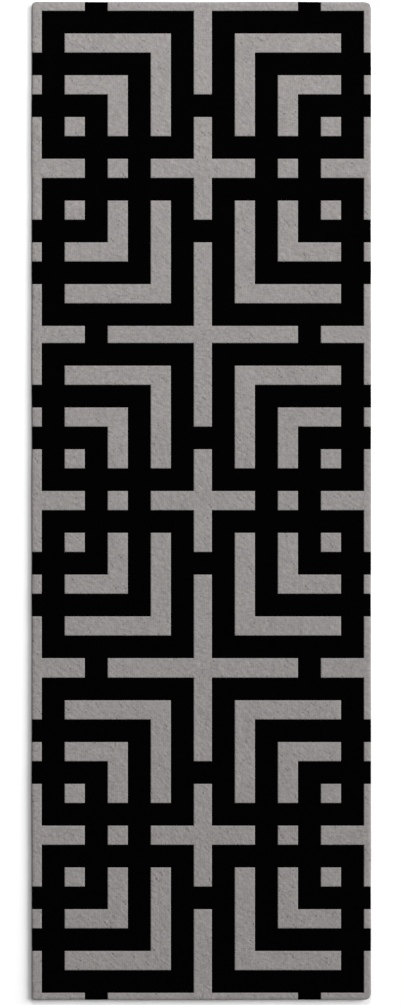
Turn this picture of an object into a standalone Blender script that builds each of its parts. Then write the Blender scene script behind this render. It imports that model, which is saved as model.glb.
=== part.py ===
"""Runner rug: a hand-tufted cut-pile runner with a black fret of bars on grey.

The rug is built up in its real layers, from the floor upwards: a backing cloth with four
binding tapes round it, a coat of latex, the tufting cloth with its turned hem, and the pile.
The pile is one lattice of black bars and the separate patches of grey that it encloses.

Metres, +Z up, +Y along the rug. The origin is on the floor, under the middle of the rug.
"""

import math

import bmesh
import bpy

# Overall sizes
RUG_WIDTH = 0.828
RUG_LENGTH = 2.440
CORNER_RADIUS = 0.011

# Thickness of each layer
TAPE_THICKNESS = 0.0008
CLOTH_THICKNESS = 0.0008
COAT_THICKNESS = 0.0012
PILE_HEIGHT = 0.0085

# Pattern: bars of equal width, with gaps of their own only where squares or motifs meet.
# The gaps between motifs are listed from the near end.
COLUMN_BAR = 0.0558
ROW_BAR = 0.0551
SIDE_MARGIN = 0.0200
END_MARGIN = 0.0190
CENTRE_GAP = 0.0445
MOTIF_GAPS = (0.0480, 0.0422)
PATTERN_SHIFT_X = 0.0034
PATTERN_SHIFT_Y = -0.0024
MOTIFS = len(MOTIF_GAPS) + 1
BARS_PER_SQUARE = 4
SQUARES_ACROSS = 2

# Edges
PILE_OVERHANG = 0.0015
TAPE_SETBACK = 0.004
TAPE_WIDTH = 0.030

# The strip of tuft roots that joins the grey patches in one side margin, and how far it
# stays from the rug's edge and from the first bar
ROOT_STRIP_THICKNESS = 0.0006
ROOT_STRIP_INSET = 0.001
ROOT_STRIP_TO_BAR = 0.003

# Clearance between pieces that touch
GAP = 0.0003

# Sides of a rounded corner, and how far a cutter passes the face that it cuts
CORNER_SEGMENTS = 6
CUTTER_REACH = 0.002

# Heights of the layers, from the floor up
HEM_LOW = TAPE_THICKNESS + GAP
HEM_HIGH = HEM_LOW + CLOTH_THICKNESS
COAT_LOW = HEM_HIGH + GAP
COAT_HIGH = COAT_LOW + COAT_THICKNESS
CLOTH_LOW = COAT_HIGH + GAP
CLOTH_HIGH = CLOTH_LOW + CLOTH_THICKNESS
PILE_LOW = CLOTH_HIGH + GAP

# Cells of the pattern, counted from an edge of a motif in to its centre line.
# Odd cells lie on a bar's line, even cells lie between two bars' lines.
EDGE, FIRST_BAR, SECOND_BAR, THIRD_BAR, FOURTH_BAR, CENTRE = 0, 1, 3, 5, 7, 8
CELLS_PER_MOTIF = 4 * BARS_PER_SQUARE
COLUMNS = 2 * BARS_PER_SQUARE * SQUARES_ACROSS + 1
ROWS = CELLS_PER_MOTIF * MOTIFS + 1
PATCH_SHAPES = {1: "square", 5: "small_corner", 9: "large_corner"}


def clear_scene():
    """Removes whatever the scene holds."""
    for obj in list(bpy.data.objects):
        bpy.data.objects.remove(obj)


def make_material(name, color, roughness, sheen=0.0):
    """A plain material, with a soft sheen for the wool."""
    material = bpy.data.materials.new(name)
    material.use_nodes = True
    shader = material.node_tree.nodes["Principled BSDF"]
    shader.inputs["Base Color"].default_value = (*color, 1.0)
    shader.inputs["Roughness"].default_value = roughness
    shader.inputs["Metallic"].default_value = 0.0
    shader.inputs["Sheen Weight"].default_value = sheen
    material.diffuse_color = (*color, 1.0)
    return material


def make_collection(name, hidden=False):
    collection = bpy.data.collections.new(name)
    collection.hide_render = hidden
    bpy.context.scene.collection.children.link(collection)
    return collection


def add_object(name, bm, collection, material=None):
    """Turns a bmesh into an object."""
    mesh = bpy.data.meshes.new(name)
    bm.to_mesh(mesh)
    bm.free()
    if material:
        mesh.materials.append(material)
    obj = bpy.data.objects.new(name, mesh)
    collection.objects.link(obj)
    return obj


def box_mesh(low, high):
    """A box between two corners."""
    bm = bmesh.new()
    bmesh.ops.create_cube(bm, size=1.0)
    for vertex in bm.verts:
        for axis in range(3):
            vertex.co[axis] = high[axis] if vertex.co[axis] > 0 else low[axis]
    return bm


def slab_mesh(inset, low, high, radius=0.0):
    """A slab of the rug's outline, drawn in by an inset, with its upright edges rounded."""
    half_width = RUG_WIDTH / 2 - inset
    half_length = RUG_LENGTH / 2 - inset
    bm = box_mesh((-half_width, -half_length, low), (half_width, half_length, high))
    if radius > 0:
        upright = [e for e in bm.edges if abs(e.verts[0].co.z - e.verts[1].co.z) > 0]
        bmesh.ops.bevel(
            bm, geom=upright, offset=radius, segments=CORNER_SEGMENTS, profile=0.5, affect="EDGES"
        )
    return bm


def use_tool(obj, tool, operation):
    """Cuts obj with a hidden tool, or joins the tool to it."""
    tool.hide_render = True
    tool.display_type = "WIRE"
    modifier = obj.modifiers.new(tool.name, "BOOLEAN")
    modifier.operation = operation
    modifier.solver = "EXACT"
    modifier.object = tool


def bar_lines(length, margin, shift, bar, bars_per_group, group_gaps, clearance):
    """Where the bars begin and end along one direction, with the rug's two edges at the ends.

    The bars stand in groups, with group_gaps between the groups. The gaps inside a group share
    what is left of the length. Each bar is widened by clearance on both sides.
    """
    groups = len(group_gaps) + 1
    free = length - 2 * margin - groups * bars_per_group * bar - sum(group_gaps)
    inner_gap = free / (groups * (bars_per_group - 1))
    gaps = []
    for group_gap in (*group_gaps, 0.0):
        gaps += [inner_gap] * (bars_per_group - 1) + [group_gap]
    lines = [-length / 2]
    place = -length / 2 + margin + shift
    for gap in gaps:
        lines += [place - clearance, place + bar + clearance]
        place += bar + gap
    lines.append(length / 2)
    return lines


def column_lines(clearance=0.0):
    return bar_lines(
        RUG_WIDTH, SIDE_MARGIN, PATTERN_SHIFT_X, COLUMN_BAR,
        BARS_PER_SQUARE, (CENTRE_GAP,), clearance,
    )  # fmt: skip


def row_lines(clearance=0.0):
    return bar_lines(
        RUG_LENGTH, END_MARGIN, PATTERN_SHIFT_Y, ROW_BAR,
        2 * BARS_PER_SQUARE, MOTIF_GAPS, clearance,
    )  # fmt: skip


def is_black(column, row):
    """Whether a cell of the pattern is black. The motif is mirrored both ways."""
    across = min(column, COLUMNS - 1 - column)
    along = row % CELLS_PER_MOTIF
    along = min(along, CELLS_PER_MOTIF - along)
    in_square = FIRST_BAR <= across <= FOURTH_BAR and FIRST_BAR <= along <= FOURTH_BAR
    on_ring = across in (FIRST_BAR, FOURTH_BAR) or along in (FIRST_BAR, FOURTH_BAR)
    square = in_square and on_ring
    outer_arm = along == SECOND_BAR and across <= THIRD_BAR
    outer_upright = across == THIRD_BAR and along >= SECOND_BAR
    inner_arm = along == THIRD_BAR and across <= SECOND_BAR
    inner_upright = across == SECOND_BAR and along >= THIRD_BAR
    motif_tie = across == SECOND_BAR and along == EDGE
    square_tie = along == THIRD_BAR and across >= FOURTH_BAR
    return (
        square or outer_arm or outer_upright or inner_arm or inner_upright or motif_tie or square_tie
    )


def all_cells():
    return [(column, row) for row in range(ROWS) for column in range(COLUMNS)]


def neighbours(cell):
    column, row = cell
    return [(column + 1, row), (column - 1, row), (column, row + 1), (column, row - 1)]


def grey_patches():
    """Each separate patch of grey pile, as its cells."""
    left = {cell for cell in all_cells() if not is_black(*cell)}
    patches = []
    for start in all_cells():
        if start not in left:
            continue
        left.remove(start)
        patch = [start]
        for cell in patch:
            for other in neighbours(cell):
                if other in left:
                    left.remove(other)
                    patch.append(other)
        patches.append(patch)
    return patches


def middle_of(patch):
    """The middle column and row of a patch."""
    columns = [column for column, row in patch]
    rows = [row for column, row in patch]
    return (min(columns) + max(columns)) / 2, (min(rows) + max(rows)) / 2


def on_left(patch):
    return min(column for column, row in patch) == 0


def on_right(patch):
    return max(column for column, row in patch) == COLUMNS - 1


def at_near_end(patch):
    return min(row for column, row in patch) == 0


def at_far_end(patch):
    return max(row for column, row in patch) == ROWS - 1


def patch_name(patch):
    """A name from the patch's shape, its motif and its place in the motif."""
    if at_near_end(patch):
        return "grey_end_tee_near"
    if at_far_end(patch):
        return "grey_end_tee_far"
    column, row = middle_of(patch)
    motif = int(row // CELLS_PER_MOTIF) + 1
    if row % CELLS_PER_MOTIF == 0:
        return f"grey_joining_cross_{motif - 1}"
    if column == COLUMNS // 2:
        return f"grey_centre_cross_{motif}"
    side = "left" if column < COLUMNS // 2 else "right"
    from_middle = row % CELLS_PER_MOTIF - CENTRE
    level = "lower" if from_middle < 0 else "upper" if from_middle > 0 else "middle"
    return f"grey_{PATCH_SHAPES[len(patch)]}_{motif}_{side}_{level}"


def pattern_sheet(cells, columns, rows):
    """A flat sheet of these cells at the pile's foot, drawn on the given lines."""
    bm = bmesh.new()
    bmesh.ops.create_grid(bm, x_segments=COLUMNS, y_segments=ROWS, size=0.5)
    kept = set(cells)
    spare = []
    for face in bm.faces:
        middle = face.calc_center_median()
        cell = (int((middle.x + 0.5) * COLUMNS), int((middle.y + 0.5) * ROWS))
        if cell not in kept:
            spare.append(face)
    for vertex in bm.verts:
        column = round((vertex.co.x + 0.5) * COLUMNS)
        row = round((vertex.co.y + 0.5) * ROWS)
        vertex.co = (columns[column], rows[row], PILE_LOW)
    bmesh.ops.delete(bm, geom=spare, context="FACES")
    return bm


def round_rug_corners(bm):
    """Rounds a pattern sheet where it holds a corner of the rug."""
    corners = [
        vertex
        for vertex in bm.verts
        if math.isclose(abs(vertex.co.x), RUG_WIDTH / 2, abs_tol=GAP / 2)
        and math.isclose(abs(vertex.co.y), RUG_LENGTH / 2, abs_tol=GAP / 2)
    ]
    if corners:
        bmesh.ops.bevel(
            bm, geom=corners, offset=CORNER_RADIUS, segments=CORNER_SEGMENTS, profile=0.5,
            affect="VERTICES",
        )  # fmt: skip


def pile_block(name, cells, clearance, collection, material):
    """A block of cut pile over these cells of the pattern."""
    bm = pattern_sheet(cells, column_lines(clearance), row_lines(clearance))
    round_rug_corners(bm)
    bmesh.ops.dissolve_limit(bm, angle_limit=math.radians(1), verts=bm.verts, edges=bm.edges)
    block = add_object(name, bm, collection, material)
    solidify = block.modifiers.new("pile_height", "SOLIDIFY")
    solidify.thickness = PILE_HEIGHT
    solidify.offset = 1.0
    return block


def root_strip(name, side, tools, clearance=0.0, reach=0.0):
    """The strip of roots in one side margin. side is -1 on the left and 1 on the right.

    A clearance widens it towards the bar and upwards, and a reach widens it outwards and down.
    """
    first_bar = abs(column_lines()[1 if side < 0 else -2])
    inner = first_bar + ROOT_STRIP_TO_BAR - clearance
    outer = RUG_WIDTH / 2 - ROOT_STRIP_INSET + reach
    end = RUG_LENGTH / 2 - CORNER_RADIUS
    x_low, x_high = sorted((side * inner, side * outer))
    high = PILE_LOW + ROOT_STRIP_THICKNESS + clearance
    return add_object(name, box_mesh((x_low, -end, PILE_LOW - reach), (x_high, end, high)), tools)


def black_lattice(parts, tools, material):
    """All the black bars, which form one piece. Their ends pass over the root strips."""
    cells = [cell for cell in all_cells() if is_black(*cell)]
    lattice = pile_block("black_pile_lattice", cells, 0.0, parts, material)
    for name, side in (("left", -1), ("right", 1)):
        notch = root_strip(f"notch_for_{name}_roots", side, tools, GAP, CUTTER_REACH)
        use_tool(lattice, notch, "DIFFERENCE")


def grey_border(name, side, patches, parts, tools, material):
    """The grey patches along one side of the rug, joined at their roots."""
    cells = [cell for patch in patches for cell in patch]
    border = pile_block(f"grey_border_{name}", cells, GAP, parts, material)
    use_tool(border, root_strip(f"roots_{name}", side, tools), "UNION")


def grey_pile(parts, tools, material):
    """Every patch of grey pile. The patches in the two side margins make two borders."""
    patches = grey_patches()
    grey_border("left", -1, filter(on_left, patches), parts, tools, material)
    grey_border("right", 1, filter(on_right, patches), parts, tools, material)
    for patch in patches:
        if not on_left(patch) and not on_right(patch):
            pile_block(patch_name(patch), patch, GAP, parts, material)


def tufting_cloth(parts, tools, material):
    """The cloth that holds the tufts. Its edges turn down and back under, as a hem."""
    radius = CORNER_RADIUS - PILE_OVERHANG
    bm = slab_mesh(PILE_OVERHANG, HEM_LOW, CLOTH_HIGH, radius)
    cloth = add_object("tufting_cloth", bm, parts, material)
    pocket_inset = PILE_OVERHANG + CLOTH_THICKNESS
    pocket_radius = radius - CLOTH_THICKNESS
    pocket = slab_mesh(pocket_inset, HEM_HIGH, CLOTH_LOW, pocket_radius)
    use_tool(cloth, add_object("pocket_for_coat", pocket, tools), "DIFFERENCE")
    opening = slab_mesh(TAPE_SETBACK + TAPE_WIDTH, HEM_LOW - CUTTER_REACH, COAT_HIGH)
    use_tool(cloth, add_object("opening_in_hem", opening, tools), "DIFFERENCE")


def latex_coat(parts, material):
    """The coat that locks the tufts. Its rim lies inside the fold of the hem."""
    inset = PILE_OVERHANG + CLOTH_THICKNESS + GAP
    radius = CORNER_RADIUS - inset
    add_object("latex_coat", slab_mesh(inset, COAT_LOW, COAT_HIGH, radius), parts, material)


def backing_cloth(parts, material):
    """The cloth glued under the coat. It fills the opening that the hem and tapes leave."""
    inset = TAPE_SETBACK + TAPE_WIDTH + GAP
    add_object("backing_cloth", slab_mesh(inset, 0.0, HEM_HIGH), parts, material)


def binding_tape(name, half_length, distance, turn, parts, material):
    """One strip of tape under the hem, with mitred ends.

    half_length is half its outer edge, and distance is from the rug's middle to that edge.
    """
    half_length -= GAP * math.sqrt(2) / 2
    low = (-half_length, distance - TAPE_WIDTH, 0.0)
    high = (half_length, distance, TAPE_THICKNESS)
    bm = box_mesh(low, high)
    inner_half = half_length - TAPE_WIDTH
    for vertex in bm.verts:
        if vertex.co.y < distance - TAPE_WIDTH / 2:
            vertex.co.x = math.copysign(inner_half, vertex.co.x)
    tape = add_object(f"binding_tape_{name}", bm, parts, material)
    tape.rotation_euler.z = turn


def binding_tapes(parts, material):
    """Four tapes in a frame, set back a little from the rug's edge."""
    half_width = RUG_WIDTH / 2 - TAPE_SETBACK
    half_length = RUG_LENGTH / 2 - TAPE_SETBACK
    quarter = math.pi / 2
    binding_tape("far", half_width, half_length, 0.0, parts, material)
    binding_tape("left", half_length, half_width, quarter, parts, material)
    binding_tape("near", half_width, half_length, 2 * quarter, parts, material)
    binding_tape("right", half_length, half_width, 3 * quarter, parts, material)


def main():
    clear_scene()
    parts = make_collection("runner_rug")
    tools = make_collection("runner_rug_cutters", hidden=True)
    black_wool = make_material("black_wool", (0.006, 0.006, 0.007), 0.95, sheen=0.05)
    grey_wool = make_material("grey_wool", (0.30, 0.283, 0.278), 0.95, sheen=0.15)
    cotton = make_material("tufting_cotton", (0.62, 0.58, 0.48), 0.90)
    latex = make_material("latex", (0.72, 0.66, 0.50), 0.60)
    canvas = make_material("backing_canvas", (0.56, 0.53, 0.45), 0.92)
    tape = make_material("binding_tape", (0.22, 0.21, 0.20), 0.85)
    backing_cloth(parts, canvas)
    binding_tapes(parts, tape)
    latex_coat(parts, latex)
    tufting_cloth(parts, tools, cotton)
    black_lattice(parts, tools, black_wool)
    grey_pile(parts, tools, grey_wool)


main()
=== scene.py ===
"""The looks of the runner rug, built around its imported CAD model.

The pile is a field of cut wool tufts. Its colours follow the pattern of the CAD model: each
cell of the pattern holds a whole number of tufts, and each tuft is a small cap with a valley
round it. Under the pile lie the tufting cloth with its folded hem, the latex, the backing
cloth and four sewn binding tapes.

Metres, +Z up, +Y along the rug, as in the CAD model.
"""

import math

import bpy
import numpy as np
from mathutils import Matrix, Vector


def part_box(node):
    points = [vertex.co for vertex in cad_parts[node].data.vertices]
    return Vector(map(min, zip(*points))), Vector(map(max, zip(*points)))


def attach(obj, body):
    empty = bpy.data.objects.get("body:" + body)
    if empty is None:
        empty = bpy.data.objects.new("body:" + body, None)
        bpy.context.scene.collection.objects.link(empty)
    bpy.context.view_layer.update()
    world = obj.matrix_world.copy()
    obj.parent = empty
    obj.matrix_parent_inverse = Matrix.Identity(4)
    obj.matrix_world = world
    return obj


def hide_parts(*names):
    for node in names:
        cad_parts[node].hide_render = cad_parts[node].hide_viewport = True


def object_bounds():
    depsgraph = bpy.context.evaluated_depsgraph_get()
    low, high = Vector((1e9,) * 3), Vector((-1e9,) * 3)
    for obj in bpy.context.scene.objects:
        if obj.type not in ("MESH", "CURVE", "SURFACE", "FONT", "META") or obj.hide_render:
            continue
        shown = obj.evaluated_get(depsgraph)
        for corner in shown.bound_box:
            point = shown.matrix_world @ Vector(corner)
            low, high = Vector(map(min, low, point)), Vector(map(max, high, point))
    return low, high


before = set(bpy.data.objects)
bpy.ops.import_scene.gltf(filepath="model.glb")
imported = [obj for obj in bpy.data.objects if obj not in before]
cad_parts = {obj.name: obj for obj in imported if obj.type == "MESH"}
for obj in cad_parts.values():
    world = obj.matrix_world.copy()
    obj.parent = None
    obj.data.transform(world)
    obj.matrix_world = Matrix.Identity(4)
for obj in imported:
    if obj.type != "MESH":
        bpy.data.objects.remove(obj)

CAD_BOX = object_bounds()

# The rug's sizes, from the CAD model
HALF_WIDTH = CAD_BOX[1].x
HALF_LENGTH = CAD_BOX[1].y
PILE_TOP = CAD_BOX[1].z
PILE_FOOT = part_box("tufting_cloth")[1].z + 0.00005
LINE_TOLERANCE = 0.001
RIM_TOLERANCE = 0.0005
MOTIFS = 3
BLACK_NODE = "black_pile_lattice"

# Tufts: their pitch, where the three strips of a tuft begin, and their unevenness
SEED = 20
TUFT = 0.0052
TUFT_STRIPS = (0.0, 0.22, 0.78)
VALLEY_DEPTH = 0.00014
CROSSING_DEPTH = 0.00008
GROOVE_DEPTH = 0.0009
TUFT_HEIGHT_SPREAD = 0.00008
TUFT_TILT_SPREAD = 0.00005
TUFT_SHIFT_SPREAD = 0.00022
LINE_SHIFT_SPREAD = 0.00030

# Where two colours meet: the share of the unevenness held back, and how far each draws in
EDGE_HOLD = 0.9
COLOUR_GAP = 0.0001

# A few tufts part and lie deeper, and some of them take a neighbour with them
PARTING_SHARE = 0.014
PARTING_PAIRS = 0.5
PARTING_DEPTH = 0.0006

# How far the rows of tufts wander, and how far from a pattern line that begins to fade
WANDER_PITCH = 0.030
WANDER_REACH = 0.0022
WANDER_FADE = 0.014

# Fine streaks in the pile, and soft swells under them
GRAIN_PITCH = 0.0025
GRAIN_REACH = 3
GRAIN_HEIGHT = 0.00021
FLOW_PITCH = 0.16
FLOW_MIDDLE = math.radians(-15)
FLOW_SWING = math.radians(40)
SWELL_PITCH = 0.045
SWELL_HEIGHT = 0.00025

# How light the pile is, from 0 to 1, and what makes it lighter or darker
MEAN_TONE = 0.60
TUFT_TONE_SPREAD = 0.035
GRAIN_TONE = 0.06
# Painted shade: valleys, crossings, parted tufts, the rim and the grooves where colours meet are
# darkened
VALLEY_PAINTED_SHADE = 0.02
CROSSING_PAINTED_SHADE = 0.01
PARTING_PAINTED_SHADE = 0.28
EDGE_PAINTED_SHADE = 0.1

# The rug's rim: the pile rounds off towards it, stands out past it, and is a little wavy
RIM_ROUND = 0.007
RIM_DROP = 0.0012
BRIM_DROP = 0.0008
RIM_OUTSET = 0.0015
FLUTE_DEPTH = 0.0006
WAVE_PITCH = 0.09
WAVE_HEIGHT = 0.0005
WAVE_REACH = 0.05
ROOT_INSET = 0.0010

# The radius of the rug's corners, and of the pile at the corner on each side (x, y)
CORNER_ROUND = 0.012
PILE_CORNERS = {(-1, 1): 0.0065, (1, 1): 0.012, (1, -1): 0.012, (-1, -1): 0.004}

# The map for baking: its margin, the strip that holds the feet, and how far walls lie out
MAP_MARGIN = 0.02
MAP_FOOT_STRIP = 0.05
MAP_FOOT_MARGIN = 0.005
MAP_WALL = 0.008

# Cloth layers: steps round the outline and its folds, the gap between layers, and the hem
SIDE_STEPS = 40
END_STEPS = 16
CORNER_STEPS = 6
FOLD_STEPS = 8
LEAST_RADIUS = 0.0006
LAYER_GAP = 0.0002
HEM_WIDTH = 0.0325
CLOTH_MIDDLE = 0.045

# The backing canvas rides up over the tapes' inner edges
BACKING_STEP = 0.02
BACKING_FOOT = 0.00012
BACKING_SWELL = 0.0001
BACKING_LIFTED = 0.00095
RAMP_START = 0.0034
RAMP_END = 0.0085

# Tapes: how far they reach under the canvas, how their seams pull them up, and the stitches
TAPE_OVERLAP = 0.0025
TAPE_TOP = 0.0008
TAPE_FOOT = 0.00008
TAPE_PULL = 0.00022
TAPE_PUCKER = 0.00010
SEAM_INSET = 0.0028
SEAM_REACH = 0.0035
MITRE_GAP = 0.0003
TAPE_CORNER_CUT = 0.005
ACROSS_STEPS = 16
STITCH_PITCH = 0.005
STITCH_LENGTH = 0.0036
STITCH_RADIUS = 0.00028
STITCH_SLANT = 0.0006
STITCH_DIP = 0.0003
STITCH_SIDES = 5

# Sections of a stitch: the share of its length, and 1 where it is wide or 0 at its points
STITCH_SECTIONS = ((-0.5, 0), (-0.36, 1), (0.36, 1), (0.5, 0))

# Weave: threads of the two cloths, the tape's ribs and where they turn back, and plies
COTTON_PITCH = 0.0016
CANVAS_PITCH = 0.0011
RIB_PITCH = 0.0013
RIB_TURN = 0.006
PLY_PITCH = 0.0005

# Stage
FLOOR_HALF = 60.0
FLOOR_DROP = 0.00005
WORLD_STRENGTH = 0.294
WORLD_SEEN = 0.84
KEY_DIRECTION = (0.80, 0.28, 0.52)
KEY_DISTANCE = 5.0
KEY_STRENGTH = 4.9
KEY_ANGLE = math.radians(46)
TOP_DIRECTION = (0.27, 2.74, 3.10)
TOP_DISTANCE = 4.15
TOP_POWER = 99.0
TOP_SIZE = 1.0
LENS = 175.0
FRAME_HEIGHT = 2.4585
CAMERA_X = 0.0003
CAMERA_Y = -0.0040

rng = np.random.default_rng(SEED)


# Pattern


def pattern_lines(axis):
    """The lines between the pattern's cells along one axis, from the black pile's top."""
    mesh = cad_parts[BLACK_NODE].data
    places = sorted(v.co[axis] for v in mesh.vertices if v.co.z > PILE_TOP - LINE_TOLERANCE)
    lines = places[:1]
    for place in places:
        if place - lines[-1] > LINE_TOLERANCE:
            lines.append(place)
    return lines


def pile_cells(columns, rows):
    """The CAD node that shows in each cell of the pattern, seen from above."""
    graph = bpy.context.evaluated_depsgraph_get()
    down = Vector((0, 0, -1))
    nodes = {}
    for row in range(len(rows) - 1):
        for column in range(len(columns) - 1):
            x = (columns[column] + columns[column + 1]) / 2
            y = (rows[row] + rows[row + 1]) / 2
            start = Vector((x, y, 2 * PILE_TOP))
            nodes[column, row] = bpy.context.scene.ray_cast(graph, start, down)[4].name
    return nodes


def piece_name(node, cell, columns, rows):
    """The piece that a cell belongs to. Black pile is in two pieces to each motif."""
    if node != BLACK_NODE:
        return node + "_tufts"
    column, row = cell
    last_row = len(rows) - 2
    motif = min(row * MOTIFS // last_row, MOTIFS - 1) + 1
    side = "left" if column < (len(columns) - 1) / 2 else "right"
    return f"black_pile_tufts_{motif}_{side}"


def tuft_lines(lines):
    """Fine lines along one axis, three to a tuft, and the number of each cell's first line."""
    fine = []
    starts = []
    for low, high in zip(lines, lines[1:]):
        starts.append(len(fine))
        tufts = max(1, round((high - low) / TUFT))
        width = (high - low) / tufts
        for number in range(tufts):
            fine += [low + (number + share) * width for share in TUFT_STRIPS]
    starts.append(len(fine))
    fine.append(lines[-1])
    return np.array(fine), starts


# Random fields


def soft_weights(lines, pitch):
    """How much each point of a coarse grid weighs at each line."""
    place = (lines - lines[0]) / pitch
    below = np.floor(place).astype(int)
    share = place - below
    share = share * share * (3 - 2 * share)
    weights = np.zeros((len(lines), below.max() + 2))
    number = np.arange(len(lines))
    weights[number, below] = 1 - share
    weights[number, below + 1] = share
    return weights


def soft_noise(rows, columns, pitch):
    """Soft random swells between -1 and 1, over a grid of lines."""
    down = soft_weights(rows, pitch)
    across = soft_weights(columns, pitch)
    coarse = rng.uniform(-1, 1, (down.shape[1], across.shape[1]))
    return down @ coarse @ across.T


def sampled(field, rows, columns):
    """A field's values at fractional row and column numbers."""
    rows = rows.clip(0, field.shape[0] - 1.001)
    columns = columns.clip(0, field.shape[1] - 1.001)
    row = rows.astype(int)
    column = columns.astype(int)
    up = rows - row
    right = columns - column
    low = field[row, column] * (1 - right) + field[row, column + 1] * right
    high = field[row + 1, column] * (1 - right) + field[row + 1, column + 1] * right
    return low * (1 - up) + high * up


def grain_field(y, x):
    """Fine streaks that follow a slowly turning direction, with a spread of 1."""
    rows = np.arange(-HALF_LENGTH, HALF_LENGTH + GRAIN_PITCH, GRAIN_PITCH)
    columns = np.arange(-HALF_WIDTH, HALF_WIDTH + GRAIN_PITCH, GRAIN_PITCH)
    speckle = rng.normal(0, 1, (len(rows), len(columns)))
    turn = FLOW_MIDDLE + FLOW_SWING * soft_noise(rows, columns, FLOW_PITCH)
    row, column = np.mgrid[: len(rows), : len(columns)].astype(float)
    streaks = np.zeros_like(speckle)
    for step in range(-GRAIN_REACH, GRAIN_REACH + 1):
        along = step / 2
        streaks += sampled(speckle, row + along * np.sin(turn), column + along * np.cos(turn))
    streaks /= streaks.std()
    return sampled(streaks, (y + HALF_LENGTH) / GRAIN_PITCH, (x + HALF_WIDTH) / GRAIN_PITCH)


def over_strips(values):
    """Values of the tufts, spread over the fine lines."""
    spread = values.repeat(len(TUFT_STRIPS), 0).repeat(len(TUFT_STRIPS), 1)
    return np.pad(spread, ((0, 1), (0, 1)), mode="edge")


def strip_sides(lines):
    """-1 and 1 for the two lines that bound a tuft's cap, and 0 for a line in a valley."""
    return np.array([0, -1, 1])[np.arange(len(lines)) % len(TUFT_STRIPS)]


def quads_round(mask, beyond="constant"):
    """The quads round each grid point: near left, near right, far left and far right."""
    padded = np.pad(mask, 1, mode=beyond).astype(int)
    return padded[:-1, :-1], padded[:-1, 1:], padded[1:, :-1], padded[1:, 1:]


def meets_colour(black):
    """Whether a point of the grid lies where black and grey meet."""
    count = sum(quads_round(black, "edge"))
    return (count > 0) & (count < 4)


def beside(mask):
    """The masked points of the grid, and all those next to them."""
    padded = np.pad(mask, 1)
    rows, columns = mask.shape
    around = [padded[i : i + rows, j : j + columns] for i in range(3) for j in range(3)]
    return np.any(around, axis=0)


def wander(place, lines, rows, columns):
    """How far rows of tufts wander along one direction, held still at the pattern's lines."""
    to_line = np.abs(place[..., None] - np.array(lines)).min(-1)
    held = (to_line / WANDER_FADE).clip(0, 1)
    return soft_noise(rows, columns, WANDER_PITCH) * WANDER_REACH * held


def wavy_edge(place, other, half, lines):
    """How far the rug's two edges along one direction wander, fading out inwards."""
    far_apart = np.array([0.0, 1.0])
    waves = soft_noise(lines, far_apart, WAVE_PITCH) * WAVE_HEIGHT
    low = np.interp(other, lines, waves[:, 0])
    high = np.interp(other, lines, waves[:, 1])
    near = (1 - (half - np.abs(place)) / WAVE_REACH).clip(0, 1) ** 2
    return np.where(place < 0, low, high) * near


def rounded_corner(x, y, side_x, side_y, radius):
    """Draws one corner of the rug in to an arc."""
    across = (side_x * x - HALF_WIDTH + radius) / radius
    along = (side_y * y - HALF_LENGTH + radius) / radius
    inside = (across > 0) & (along > 0)
    u = across.clip(0, 1)
    v = along.clip(0, 1)
    round_x = side_x * (HALF_WIDTH - radius + radius * u * np.sqrt(1 - v * v / 2))
    round_y = side_y * (HALF_LENGTH - radius + radius * v * np.sqrt(1 - u * u / 2))
    return np.where(inside, round_x, x), np.where(inside, round_y, y)


# The pile


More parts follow.
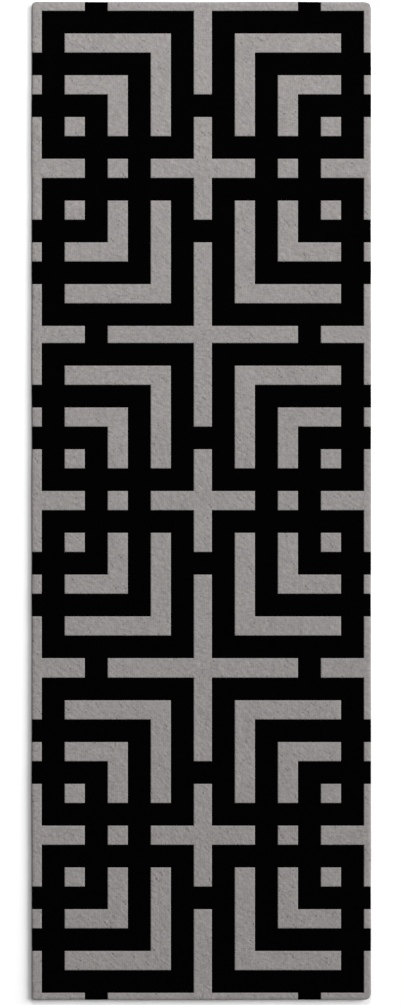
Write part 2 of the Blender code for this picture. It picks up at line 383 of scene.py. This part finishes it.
class Pile:
    """The pile's fine grid: its lines, and the place and tone of each of its points."""

    def __init__(self, column_lines, row_lines):
        self.column_lines = column_lines
        self.row_lines = row_lines
        self.columns, self.column_starts = tuft_lines(column_lines)
        self.rows, self.row_starts = tuft_lines(row_lines)
        self.tufts = tuple(len(lines) // len(TUFT_STRIPS) for lines in (self.rows, self.columns))
        self.x, self.y = np.meshgrid(self.columns, self.rows)
        self.side_x = strip_sides(self.columns)[None, :]
        self.side_y = strip_sides(self.rows)[:, None]
        self.valley = (self.side_y == 0) | (self.side_x == 0)
        self.crossing = (self.side_y == 0) & (self.side_x == 0)
        self.from_rim = np.minimum(HALF_WIDTH - np.abs(self.x), HALF_LENGTH - np.abs(self.y))
        self.rim = self.from_rim < RIM_TOLERANCE

    def quads(self, cells):
        """Which quads of the grid belong to these cells of the pattern."""
        mask = np.zeros((len(self.rows) - 1, len(self.columns) - 1), bool)
        for column, row in cells:
            in_row = slice(self.row_starts[row], self.row_starts[row + 1])
            mask[in_row, self.column_starts[column] : self.column_starts[column + 1]] = True
        return mask

    def per_tuft(self, spread):
        """A random value for each tuft, the same at all its points."""
        return over_strips(rng.normal(0, spread, self.tufts))

    def grow(self, black_cells):
        """Shapes the pile. The order of its random draws is the order of these lines."""
        self.meets = meets_colour(self.quads(black_cells))
        self.loose = 1 - EDGE_HOLD * beside(self.meets)
        wander_x = wander(self.columns, self.column_lines, self.rows, self.columns)
        wander_y = wander(self.rows, self.row_lines, self.columns, self.rows).T
        parting = self.parted_tufts()
        grain = grain_field(self.y, self.x)
        z = self.heights(grain, parting)
        self.tone = self.tones_with_painted_shade(grain, parting)
        x, y = self.places(wander_x, wander_y)
        self.top = np.stack([x, y, z], -1)
        foot_x = x * (1 - self.rim * ROOT_INSET / HALF_WIDTH)
        foot_y = y * (1 - self.rim * ROOT_INSET / HALF_LENGTH)
        self.foot = np.stack([foot_x, foot_y, np.full_like(x, PILE_FOOT)], -1)

    def parted_tufts(self):
        """The points on the few tufts that part."""
        parting = rng.random(self.tufts) < PARTING_SHARE
        pairs = parting & (rng.random(self.tufts) < PARTING_PAIRS)
        parting |= np.roll(pairs, (-1, 1), (0, 1))
        return over_strips(parting) & ~self.valley

    def heights(self, grain, parting):
        """How high each point of the pile's top lies."""
        relief = self.per_tuft(TUFT_HEIGHT_SPREAD)
        relief += self.per_tuft(TUFT_TILT_SPREAD) * self.side_x
        relief += self.per_tuft(TUFT_TILT_SPREAD) * self.side_y
        relief += grain * GRAIN_HEIGHT
        relief -= self.valley * VALLEY_DEPTH + self.crossing * CROSSING_DEPTH
        z = PILE_TOP - TUFT_HEIGHT_SPREAD + relief * self.loose
        z += soft_noise(self.rows, self.columns, SWELL_PITCH) * SWELL_HEIGHT
        z -= parting * PARTING_DEPTH + self.meets * GROOVE_DEPTH
        z -= RIM_DROP * (1 - self.from_rim / RIM_ROUND).clip(0, 1) ** 2 + self.rim * BRIM_DROP
        return z

    def tones_with_painted_shade(self, grain, parting):
        """How light each point of the pile is: random tone per tuft and along the grain, with
        painted shade in valleys, crossings, partings, at the rim and where colours meet.
        """
        tone = MEAN_TONE + self.per_tuft(TUFT_TONE_SPREAD) + GRAIN_TONE * grain
        # Painted shade: darker in valleys and crossings, in parted tufts, at the rim and in the
        # grooves where colours meet
        tone -= VALLEY_PAINTED_SHADE * self.valley + CROSSING_PAINTED_SHADE * self.crossing
        tone -= PARTING_PAINTED_SHADE * parting + EDGE_PAINTED_SHADE * (self.rim | self.meets)
        return tone.clip(0, 1)

    def places(self, wander_x, wander_y):
        """Where each point of the pile's top lies, seen from above."""
        line_x = rng.normal(0, LINE_SHIFT_SPREAD, self.x.shape)
        line_y = rng.normal(0, LINE_SHIFT_SPREAD, self.x.shape)
        tuft_x = self.per_tuft(TUFT_SHIFT_SPREAD)
        tuft_y = self.per_tuft(TUFT_SHIFT_SPREAD)
        x = self.x + self.shift(self.x, HALF_WIDTH, np.where(self.side_x == 0, line_x, tuft_x))
        y = self.y + self.shift(self.y, HALF_LENGTH, np.where(self.side_y == 0, line_y, tuft_y))
        x += wavy_edge(self.x, self.y, HALF_WIDTH, self.rows) + wander_x
        y += wavy_edge(self.y, self.x, HALF_LENGTH, self.columns) + wander_y
        for (side_x, side_y), radius in PILE_CORNERS.items():
            x, y = rounded_corner(x, y, side_x, side_y, radius)
        return x, y

    def shift(self, place, half, uneven):
        """How far points move along one axis: out at the rim, and unevenly elsewhere."""
        outward = np.sign(place) * (RIM_OUTSET - FLUTE_DEPTH * self.valley)
        return np.where(np.abs(place) > half - RIM_TOLERANCE, outward, uneven * self.loose)


# Meshes


def new_object(name, points, faces, material, smooth=True):
    """A mesh object from its points and faces. Smooth is one value, or one for each face."""
    mesh = bpy.data.meshes.new(name)
    mesh.from_pydata(points, [], faces)
    mesh.polygons.foreach_set("use_smooth", np.full(len(faces), smooth))
    mesh.materials.append(material)
    obj = bpy.data.objects.new(name, mesh)
    bpy.context.scene.collection.objects.link(obj)
    return obj


def top_faces(mask, number):
    """A face for each masked quad, from the numbers of its grid points."""
    row, column = np.nonzero(mask)
    corners = ((0, 0), (0, 1), (1, 1), (1, 0))
    return np.stack([number[row + up, column + right] for up, right in corners], 1)


def quad_outline(mask):
    """The edges round the masked quads, each from its first grid point to its second."""
    padded = np.pad(mask, 1)
    below = mask & ~padded[:-2, 1:-1]
    above = mask & ~padded[2:, 1:-1]
    left = mask & ~padded[1:-1, :-2]
    right = mask & ~padded[1:-1, 2:]
    edges = []
    for found, start, end in (
        (below, (0, 0), (0, 1)),
        (right, (0, 1), (1, 1)),
        (above, (1, 1), (1, 0)),
        (left, (1, 0), (0, 0)),
    ):
        corner = np.argwhere(found)
        edges.append(np.stack([corner + start, corner + end], 1))
    return np.concatenate(edges)


def cell_outline(cell, pile):
    """The grid points round a cell, in order, seen from below, and its four corners."""
    column, row = cell
    left, right = pile.column_starts[column], pile.column_starts[column + 1]
    low, high = pile.row_starts[row], pile.row_starts[row + 1]
    points = [(low, x) for x in range(left, right)]
    points += [(y, right) for y in range(low, high)]
    points += [(high, x) for x in range(right, left, -1)]
    points += [(y, left) for y in range(high, low, -1)]
    corners = {(low, left), (low, right), (high, right), (high, left)}
    return points[::-1], corners


def foot_faces(cells, pile, foot, foot_places, first):
    """A face under each cell. Its corners get foot points where no wall gave them one."""
    faces = []
    for cell in cells:
        points, corners = cell_outline(cell, pile)
        for point in points:
            if foot[point] < 0 and point in corners:
                foot[point] = first + len(foot_places)
                foot_places.append(point)
        faces.append([int(foot[point]) for point in points if foot[point] >= 0])
    return faces


def pile_piece(name, cells, pile, material):
    """A closed block of pile: its tufted top, its walls, and one face under each cell."""
    mask = pile.quads(cells)
    near_left, near_right, far_left, far_right = quads_round(mask)
    used = near_left + near_right + far_left + far_right > 0
    inward_x = np.sign(near_right + far_right - near_left - far_left)
    inward_y = np.sign(far_left + far_right - near_left - near_right)
    inward = np.stack([inward_x, inward_y], -1)
    number = np.full(used.shape, -1)
    number[used] = np.arange(used.sum())
    foot = np.full(used.shape, -1)

    top = top_faces(mask, number)
    edges = quad_outline(mask)
    foot_places = [tuple(place) for place in edges[:, 0]]
    start, end = tuple(edges[:, 0].T), tuple(edges[:, 1].T)
    foot[start] = used.sum() + np.arange(len(edges))
    walls = np.stack([number[start], foot[start], foot[end], number[end]], 1)
    feet = foot_faces(cells, pile, foot, foot_places, used.sum())

    inset = np.zeros((*used.shape, 3))
    inset[..., :2] = COLOUR_GAP * inward * pile.meets[..., None]
    under = tuple(np.array(foot_places).T)
    points = np.concatenate([(pile.top + inset)[used], (pile.foot + inset)[under]])
    faces = top.tolist() + walls.tolist() + feet
    hidden = ~(pile.meets[start] | pile.meets[end] | pile.rim[start] & pile.rim[end])
    smooth = np.concatenate([np.ones(len(top), bool), ~hidden, np.zeros(len(feet), bool)])
    obj = new_object(name, points, faces, material, smooth)
    # The tone attribute holds the pile's random tone and its painted shade; foot points get 0, so
    # walls darken towards their roots as painted shade
    tone = np.concatenate([pile.tone[used], np.zeros(len(foot_places))])
    obj.data.attributes.new("tone", "FLOAT", "POINT").data.foreach_set("value", tone)
    add_bake_map(obj.data, points, inward[under], 4 * (len(top) + len(walls)))
    return obj


def add_bake_map(mesh, points, foot_inward, first_foot):
    """Lays the piece out flat: its top, its walls just outside it, and its feet below it."""
    x, y = points[:, 0], points[:, 1]
    unit_x = MAP_MARGIN + (1 - 2 * MAP_MARGIN) * (x - x.min()) / np.ptp(x)
    unit_y = (y - y.min()) / np.ptp(y)
    low = MAP_FOOT_STRIP + MAP_MARGIN
    places = np.stack([unit_x, low + (1 - low - MAP_MARGIN) * unit_y], 1)
    places[len(places) - len(foot_inward) :] -= MAP_WALL * foot_inward
    foot_height = MAP_FOOT_STRIP - 2 * MAP_FOOT_MARGIN
    under = np.stack([unit_x, MAP_FOOT_MARGIN + foot_height * unit_y], 1)
    corner = np.empty(len(mesh.loops), np.int32)
    mesh.loops.foreach_get("vertex_index", corner)
    on_map = places[corner]
    on_map[first_foot:] = under[corner[first_foot:]]
    mesh.uv_layers.new(name="OFBake").data.foreach_set("uv", on_map.ravel())


# Materials


class Shader:
    """Builds one material. A call adds a node and gives back its output, or sets the surface."""

    def __init__(self, name, roughness, **constants):
        self.material = bpy.data.materials.new(name)
        self.material.use_nodes = True
        self.tree = self.material.node_tree
        self.surface = self.tree.nodes["Principled BSDF"]
        self.surface.inputs["Roughness"].default_value = roughness
        for socket, value in constants.items():
            self.surface.inputs[socket.replace("_", " ")].default_value = value

    def add(self, kind, output, inputs, **settings):
        node = self.tree.nodes.new(kind)
        for setting, value in settings.items():
            setattr(node, setting, value)
        for socket, value in inputs.items():
            if isinstance(value, bpy.types.NodeSocket):
                self.tree.links.new(value, node.inputs[socket])
            else:
                node.inputs[socket].default_value = value
        return node.outputs[output]

    def place(self):
        """The point of the surface, in metres."""
        return self.add("ShaderNodeTexCoord", "Object", {})

    def stretched(self, vector, scale):
        """A place scaled along each axis. Less than 1 draws a pattern out along it."""
        return self.add("ShaderNodeMapping", "Vector", {"Vector": vector, "Scale": scale})

    def noise(self, vector, size, detail=2.0):
        """Noise between 0 and 1, with bumps of about this size."""
        inputs = {"Vector": vector, "Scale": 1 / size, "Detail": detail}
        return self.add("ShaderNodeTexNoise", "Fac", inputs)

    def number(self, operation, first, second=0.0):
        inputs = {0: first, 1: second}
        return self.add("ShaderNodeMath", 0, inputs, operation=operation)

    def scaled(self, value, low, high):
        """A number between 0 and 1, brought between low and high."""
        inputs = {"Value": value, "To Min": low, "To Max": high}
        return self.add("ShaderNodeMapRange", 0, inputs)

    def parts(self, vector):
        node = self.tree.nodes.new("ShaderNodeSeparateXYZ")
        self.tree.links.new(vector, node.inputs[0])
        return node.outputs

    def attribute(self, name):
        return self.add("ShaderNodeAttribute", "Fac", {}, attribute_name=name)

    def blend(self, share, first, second):
        """A colour between two colours."""
        node = self.tree.nodes.new("ShaderNodeMix")
        node.data_type = "RGBA"
        for socket, value in (("Factor_Float", share), ("A_Color", first), ("B_Color", second)):
            target = next(s for s in node.inputs if s.identifier == socket)
            if isinstance(value, bpy.types.NodeSocket):
                self.tree.links.new(value, target)
            else:
                target.default_value = (*value, 1.0)
        return next(s for s in node.outputs if s.identifier == "Result_Color")

    def colour(self, value):
        self.tree.links.new(value, self.surface.inputs["Base Color"])

    def roughness(self, value):
        self.tree.links.new(value, self.surface.inputs["Roughness"])

    def bump(self, height, depth, strength=1.0):
        """Relief from a height between 0 and 1, this deep."""
        inputs = {"Height": height, "Distance": depth, "Strength": strength}
        normal = self.add("ShaderNodeBump", "Normal", inputs)
        self.tree.links.new(normal, self.surface.inputs["Normal"])


def wool_pile(name, dark, light, sheen, gloss):
    """Cut wool: every tuft has its own tone, and fibres show as fine grain."""
    shader = Shader(name, 0.95, Sheen_Weight=sheen, Sheen_Roughness=0.3, Specular_IOR_Level=gloss)
    place = shader.place()
    fibres = shader.noise(shader.stretched(place, (1, 1, 0.15)), 0.0011, 5.0)
    clumps = shader.noise(place, 0.009)
    cloudy = shader.noise(place, 0.09)
    # The tone attribute carries the tufts' random tone together with painted shade in valleys,
    # partings, the rim, colour grooves and roots
    tone = shader.attribute("tone")
    fine = shader.number("MULTIPLY", shader.number("SUBTRACT", fibres, 0.5), 0.35)
    middle = shader.number("MULTIPLY", shader.number("SUBTRACT", clumps, 0.5), 0.28)
    wide = shader.number("MULTIPLY", shader.number("SUBTRACT", cloudy, 0.5), 0.20)
    small = shader.number("ADD", tone, fine)
    large = shader.number("ADD", middle, wide)
    total = shader.number("ADD", small, large)
    shader.colour(shader.blend(total, dark, light))
    shader.roughness(shader.scaled(clumps, 0.88, 1.0))
    shader.bump(fibres, 0.0006, 0.6)
    return shader.material


def woven_cloth(name, dark, light, pitch):
    """Plain weave: threads that pass over and under each other, with painted shade where they
    dip.
    """
    shader = Shader(name, 0.9, Sheen_Weight=0.15, Specular_IOR_Level=0.2)
    place = shader.place()
    along = shader.parts(place)
    warp = wave_across(shader, along[0], pitch)
    weft = wave_across(shader, along[1], pitch)
    inputs = {"Vector": place, "Scale": 1 / pitch, "Color1": (0, 0, 0, 1), "Color2": (1, 1, 1, 1)}
    over = shader.add("ShaderNodeTexChecker", "Fac", inputs)
    under = shader.number("SUBTRACT", 1.0, over)
    first = shader.number("MULTIPLY", warp, over)
    second = shader.number("MULTIPLY", weft, under)
    height = shader.number("ADD", first, second)
    slub = shader.noise(shader.stretched(place, (1, 0.08, 1)), 0.0016)
    cloudy = shader.noise(place, 0.05)
    # Colour follows the threads' height, darker where they dip between each other: painted shade;
    # slub and cloudy tone are the cloth's own
    tone = shader.number("MULTIPLY", height, shader.scaled(slub, 0.55, 1.25))
    tone = shader.number("MULTIPLY", tone, shader.scaled(cloudy, 0.8, 1.1))
    shader.colour(shader.blend(tone, dark, light))
    shader.bump(height, 0.0003)
    return shader.material


def wave_across(shader, place, pitch):
    """The round backs of threads that lie side by side."""
    phase = shader.number("MULTIPLY", place, math.pi / pitch)
    return shader.number("ABSOLUTE", shader.number("SINE", phase))


def herringbone_tape(name, dark, light):
    """Twill ribs that turn back at even steps across the tape."""
    shader = Shader(name, 0.85, Sheen_Weight=0.1, Specular_IOR_Level=0.2)
    place = shader.place()
    along = shader.parts(place)
    zigzag = shader.number("PINGPONG", along[1], RIB_TURN)
    phase = shader.number("ADD", along[0], zigzag)
    rib = wave_across(shader, phase, RIB_PITCH)
    slub = shader.noise(place, 0.0015)
    cloudy = shader.noise(place, 0.03)
    # Colour follows the ribs' height, darker in the grooves between them: painted shade; slub and
    # cloudy tone are the tape's own
    tone = shader.number("MULTIPLY", rib, shader.scaled(slub, 0.5, 1.3))
    tone = shader.number("MULTIPLY", tone, shader.scaled(cloudy, 0.75, 1.1))
    shader.colour(shader.blend(tone, dark, light))
    shader.bump(rib, 0.0002)
    return shader.material


def thread_twist(name, dark, light):
    """Sewing thread, with the twist of its plies."""
    shader = Shader(name, 0.6, Sheen_Weight=0.1, Specular_IOR_Level=0.35)
    along = shader.parts(shader.place())
    phase = shader.number("ADD", along[0], along[1])
    ply = wave_across(shader, phase, PLY_PITCH)
    fuzz = shader.noise(shader.place(), 0.002)
    # Colour follows the plies' height, darker between them: painted shade; the fuzz is the
    # thread's own tone
    tone = shader.number("MULTIPLY", ply, shader.scaled(fuzz, 0.6, 1.2))
    shader.colour(shader.blend(tone, dark, light))
    shader.bump(ply, 0.0001)
    return shader.material


def latex_rubber(name, dark, light):
    """Cured latex: smooth, slightly glossy, with filler specks and small bubbles."""
    shader = Shader(name, 0.5, Specular_IOR_Level=0.4)
    place = shader.place()
    specks = shader.noise(place, 0.0008, 3.0)
    bubbles = shader.noise(place, 0.004)
    cloudy = shader.noise(place, 0.06)
    tone = shader.number("ADD", shader.scaled(specks, -0.2, 0.4), shader.scaled(cloudy, 0.0, 0.8))
    shader.colour(shader.blend(tone, dark, light))
    shader.roughness(shader.scaled(bubbles, 0.4, 0.7))
    shader.bump(bubbles, 0.0004)
    return shader.material


def grey_wool():
    dark, light = (0.1086, 0.1021, 0.0999), (0.2586, 0.2428, 0.2384)
    return wool_pile("grey_wool_pile", dark, light, 0.06, 0.05)


def black_wool():
    dark, light = (0.0002, 0.0002, 0.0002), (0.0008, 0.0008, 0.0008)
    return wool_pile("black_wool_pile", dark, light, 0.03, 0.0)


# Cloth layers


def ring(inset, height):
    """Points round the rug's outline, drawn in by an inset, with rounded corners."""
    radius = max(CORNER_ROUND - inset, LEAST_RADIUS)
    middle_x = HALF_WIDTH - inset - radius
    middle_y = HALF_LENGTH - inset - radius
    arcs = []
    for number, (side_x, side_y) in enumerate(((1, -1), (1, 1), (-1, 1), (-1, -1))):
        arc = []
        for step in range(CORNER_STEPS + 1):
            turn = (number - 1 + step / CORNER_STEPS) * math.pi / 2
            x = side_x * middle_x + radius * math.cos(turn)
            arc.append((x, side_y * middle_y + radius * math.sin(turn)))
        arcs.append(arc)
    points = []
    for number, arc in enumerate(arcs):
        steps = SIDE_STEPS if number % 2 == 0 else END_STEPS
        start, end = arc[-1], arcs[(number + 1) % 4][0]
        points += arc
        for step in range(1, steps):
            share = step / steps
            points.append(tuple(a + (b - a) * share for a, b in zip(start, end)))
    return [(x, y, height) for x, y in points]


def loft(name, profile, material):
    """A closed layer from a profile of (inset, height), from its top round its edge to below."""
    rings = [ring(inset, height) for inset, height in profile]
    count = len(rings[0])
    faces = [list(range(count))]
    for number in range(len(rings) - 1):
        first = number * count
        for step in range(count):
            here = first + step
            there = first + (step + 1) % count
            faces.append([here, here + count, there + count, there])
    last = (len(rings) - 1) * count
    faces.append([last + step for step in reversed(range(count))])
    points = [point for points in rings for point in points]
    return new_object(name, points, faces, material)


def fold(inset, low, high):
    """A half circle of (inset, height), from high round the edge at this inset to low."""
    radius = (high - low) / 2
    middle = (high + low) / 2
    places = []
    for step in range(FOLD_STEPS + 1):
        turn = math.pi * (0.5 - step / FOLD_STEPS)
        places.append((inset + radius * (1 - math.cos(turn)), middle + radius * math.sin(turn)))
    return places


def tufting_cloth(material):
    """The cloth that the tufts stand in. Its edge folds down and lies under the latex."""
    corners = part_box("tufting_cloth")
    low, high = corners[0].z, corners[1].z
    edge = HALF_WIDTH - corners[1].x
    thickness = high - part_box("latex_coat")[1].z - LAYER_GAP
    outside = fold(edge, low, high)
    inside = fold(edge + thickness, low + thickness, high - thickness)
    hem_end = edge + HEM_WIDTH
    profile = [(CLOTH_MIDDLE, high)] + outside + [(hem_end, low), (hem_end, low + thickness)]
    profile += inside[::-1] + [(CLOTH_MIDDLE, high - thickness)]
    cloth = loft("folded_tufting_cloth", profile, material)
    return cloth


def latex_layer(material):
    """The layer of latex, inside the fold of the cloth."""
    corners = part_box("latex_coat")
    low, high = corners[0].z, corners[1].z
    edge = HALF_WIDTH - corners[1].x
    profile = [(CLOTH_MIDDLE, high)] + fold(edge, low, high) + [(CLOTH_MIDDLE, low)]
    return loft("latex_layer", profile, material)


def slab(name, x, y, low, high, material):
    """A closed slab over a grid of points, with an underside and a top at each of them."""
    rows, columns = x.shape
    points = [np.stack([x, y, z], -1).reshape(-1, 3) for z in (high, low)]
    number = np.arange(rows * columns).reshape(rows, columns)
    quads = [number[:-1, :-1], number[:-1, 1:], number[1:, 1:], number[1:, :-1]]
    top = np.stack(quads, -1).reshape(-1, 4)
    under = top[:, ::-1] + number.size
    sides = [number[0, :-1], number[:-1, -1], number[-1, :0:-1], number[:0:-1, 0]]
    rim = np.concatenate(sides)
    after = np.roll(rim, -1)
    walls = np.stack([rim, rim + number.size, after + number.size, after], 1)
    faces = np.concatenate([top, under, walls]).tolist()
    return new_object(name, np.concatenate(points), faces, material)


def canvas_lines(low, high):
    """The lines of the canvas's grid along one axis, closer together at its rim."""
    near = [0.0, RAMP_START / 2, RAMP_START, RAMP_END]
    steps = round((high - low) / BACKING_STEP)
    middle = np.linspace(low + BACKING_STEP, high - BACKING_STEP, steps)
    return np.array([low + n for n in near] + list(middle) + [high - n for n in near[::-1]])


def backing_canvas(material):
    """The canvas over the underside. Its rim lies on the inner edges of the tapes."""
    low_corner, high_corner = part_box("backing_cloth")
    columns = canvas_lines(low_corner.x, high_corner.x)
    rows = canvas_lines(low_corner.y, high_corner.y)
    x, y = np.meshgrid(columns, rows)
    from_edge = np.minimum(high_corner.x - np.abs(x), high_corner.y - np.abs(y))
    lifted = ((RAMP_END - from_edge) / (RAMP_END - RAMP_START)).clip(0, 1)
    foot = BACKING_FOOT + BACKING_SWELL * (1 + soft_noise(rows, columns, SWELL_PITCH))
    low = foot * (1 - lifted) + BACKING_LIFTED * lifted
    high = np.full_like(low, high_corner.z)
    canvas = slab("backing_canvas_sheet", x, y, low, high, material)
    return canvas


def stitch_points(x, y):
    """One stitch along X: a short round bar whose pointed ends dip into the tape."""
    points = []
    for share, wide in STITCH_SECTIONS:
        slant = share * STITCH_SLANT
        height = STITCH_RADIUS + STITCH_DIP * (1 - wide)
        for side in range(STITCH_SIDES if wide else 1):
            turn = math.tau * side / STITCH_SIDES
            across = wide * STITCH_RADIUS * math.cos(turn)
            up = wide * STITCH_RADIUS * math.sin(turn)
            points.append((x + share * STITCH_LENGTH, y + slant + across, height + up))
    return points


def stitch_faces(first):
    """The faces of a stitch whose first point has this number."""
    near = first + 1
    far = near + STITCH_SIDES
    tip = far + STITCH_SIDES
    faces = []
    for side in range(STITCH_SIDES):
        after = (side + 1) % STITCH_SIDES
        faces.append([first, near + side, near + after])
        faces.append([near + side, far + side, far + after, near + after])
        faces.append([far + side, tip, far + after])
    return faces


def stitches(name, half, outer, seams, material):
    """The seams of a tape: rows of sewing stitches at these distances from its outer edge."""
    points = []
    faces = []
    for seam in seams:
        reach = half - seam - STITCH_PITCH
        count = round(2 * reach / STITCH_PITCH)
        for x in np.linspace(-reach, reach, count):
            faces += stitch_faces(len(points))
            points += stitch_points(x, outer - seam)
    return new_object(name, points, faces, material)


def tape_height(across, along, width):
    """The underside of a tape: its seams pull it up, most of all at their holes."""
    pull = np.zeros_like(across)
    for seam in (SEAM_INSET, width - SEAM_INSET):
        near = (1 - np.abs(across - seam) / SEAM_REACH).clip(0, 1)
        pull = np.maximum(pull, near)
    hole = 0.5 + 0.5 * np.cos(math.tau * along / STITCH_PITCH)
    return TAPE_FOOT + TAPE_PULL * pull + TAPE_PUCKER * pull * hole


def binding_tape(side, quarter, cloth, thread):
    """One binding tape with its seams, made along X at the far side and then turned."""
    low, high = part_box("binding_tape_far")
    half, outer = high.x, high.y
    if quarter % 2:
        half, outer = outer, half
    width = high.y - low.y + TAPE_OVERLAP
    steps = 2 * round(2 * half / STITCH_PITCH)
    inward = np.linspace(width, 0, ACROSS_STEPS + 1)
    share, inward = np.meshgrid(np.linspace(-1, 1, steps + 1), inward)
    reach = half - MITRE_GAP - np.maximum(inward, TAPE_CORNER_CUT - inward)
    x = share * reach
    foot = tape_height(inward, share * steps * STITCH_PITCH / 2, width)
    top = np.full_like(x, TAPE_TOP)
    tape = slab(f"binding_tape_{side}_woven", x, outer - inward, foot, top, cloth)
    seams = (SEAM_INSET, width - SEAM_INSET)
    sewing = stitches(f"binding_tape_{side}_stitches", half, outer, seams, thread)
    for piece in (tape, sewing):
        piece.rotation_euler.z = quarter * math.pi / 2
    return tape, sewing


# Stage


def make_floor():
    shader = Shader("floor_white", 1.0, Specular_IOR_Level=0.0)
    speckle = shader.noise(shader.place(), 0.4)
    shader.colour(shader.blend(speckle, (0.75, 0.75, 0.75), (0.77, 0.77, 0.77)))
    corners = ((-1, -1), (1, -1), (1, 1), (-1, 1))
    points = [(x * FLOOR_HALF, y * FLOOR_HALF, -FLOOR_DROP) for x, y in corners]
    new_object("floor", points, [(0, 1, 2, 3)], shader.material)


def make_light(name, kind, direction, distance, energy, size):
    """A light in a direction from the rug's middle, aimed at it, that the camera doesn't see."""
    data = bpy.data.lights.new(name, kind)
    data.energy = energy
    if kind == "AREA":
        data.shape = "DISK"
        data.size = size
    else:
        data.angle = size
    light = bpy.data.objects.new(name, data)
    light.location = Vector(direction).normalized() * distance
    light.rotation_mode = "QUATERNION"
    light.rotation_quaternion = Vector(direction).to_track_quat("Z", "Y")
    light.visible_camera = False
    bpy.context.scene.collection.objects.link(light)


def make_world():
    """An even pale surround. The camera sees it in the tone of the far floor."""
    world = bpy.data.worlds.new("studio")
    world.use_nodes = True
    tree = world.node_tree
    background = tree.nodes["Background"]
    background.inputs["Color"].default_value = (1, 1, 1, 1)
    seen = tree.nodes.new("ShaderNodeLightPath").outputs["Is Camera Ray"]
    strength = tree.nodes.new("ShaderNodeMapRange")
    strength.inputs["To Min"].default_value = WORLD_STRENGTH
    strength.inputs["To Max"].default_value = WORLD_SEEN
    tree.links.new(seen, strength.inputs["Value"])
    tree.links.new(strength.outputs[0], background.inputs["Strength"])
    bpy.context.scene.world = world


def make_camera():
    data = bpy.data.cameras.new("camera")
    data.lens = LENS
    distance = FRAME_HEIGHT * data.lens / data.sensor_width
    data.clip_end = 4 * distance
    camera = bpy.data.objects.new("camera", data)
    camera.location = (CAMERA_X, CAMERA_Y, distance + PILE_TOP)
    bpy.context.scene.collection.objects.link(camera)
    bpy.context.scene.camera = camera


# The whole rug


def make_pile():
    """The pile's pieces, each in place of the CAD node that it stands for."""
    columns = pattern_lines(0)
    rows = pattern_lines(1)
    plan = {}
    for cell, node in pile_cells(columns, rows).items():
        name = piece_name(node, cell, columns, rows)
        plan.setdefault(name, (node, []))[1].append(cell)
    pile = Pile(columns, rows)
    pile.grow([cell for node, cells in plan.values() if node == BLACK_NODE for cell in cells])
    wool = {"black_wool": black_wool(), "grey_wool": grey_wool()}
    pieces = []
    for name, (node, cells) in plan.items():
        slot = "black_wool" if node == BLACK_NODE else "grey_wool"
        piece = pile_piece(name, cells, pile, wool[slot])
        settle(piece, node)
        pieces.append(piece)
    return pieces


def make_cloths(pile_pieces):
    """The layers under the pile, from the tufting cloth down to the tapes."""
    dark, light = (0.30, 0.27, 0.22), (0.72, 0.67, 0.58)
    cotton = woven_cloth("tufting_cotton", dark, light, COTTON_PITCH)
    settle(tufting_cloth(cotton), "tufting_cloth")
    rubber = latex_rubber("latex_rubber", (0.55, 0.50, 0.40), (0.80, 0.76, 0.66))
    settle(latex_layer(rubber), "latex_coat")
    dark, light = (0.24, 0.21, 0.17), (0.62, 0.57, 0.48)
    canvas = woven_cloth("backing_canvas", dark, light, CANVAS_PITCH)
    settle(backing_canvas(canvas), "backing_cloth")
    twill = herringbone_tape("binding_twill", (0.030, 0.029, 0.029), (0.105, 0.101, 0.099))
    thread = thread_twist("seam_thread", (0.05, 0.05, 0.05), (0.17, 0.165, 0.16))
    for quarter, side in enumerate(("far", "left", "near", "right")):
        for piece in binding_tape(side, quarter, twill, thread):
            settle(piece, f"binding_tape_{side}")


def settle(piece, node):
    """Puts a piece on the rug, in place of its CAD node."""
    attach(piece, "root")
    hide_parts(node)


def main():
    make_cloths(make_pile())
    make_floor()
    make_world()
    make_light("key", "SUN", KEY_DIRECTION, KEY_DISTANCE, KEY_STRENGTH, KEY_ANGLE)
    make_light("top", "AREA", TOP_DIRECTION, TOP_DISTANCE, TOP_POWER, TOP_SIZE)
    make_camera()
    bpy.context.scene.view_settings.view_transform = "Standard"


main()
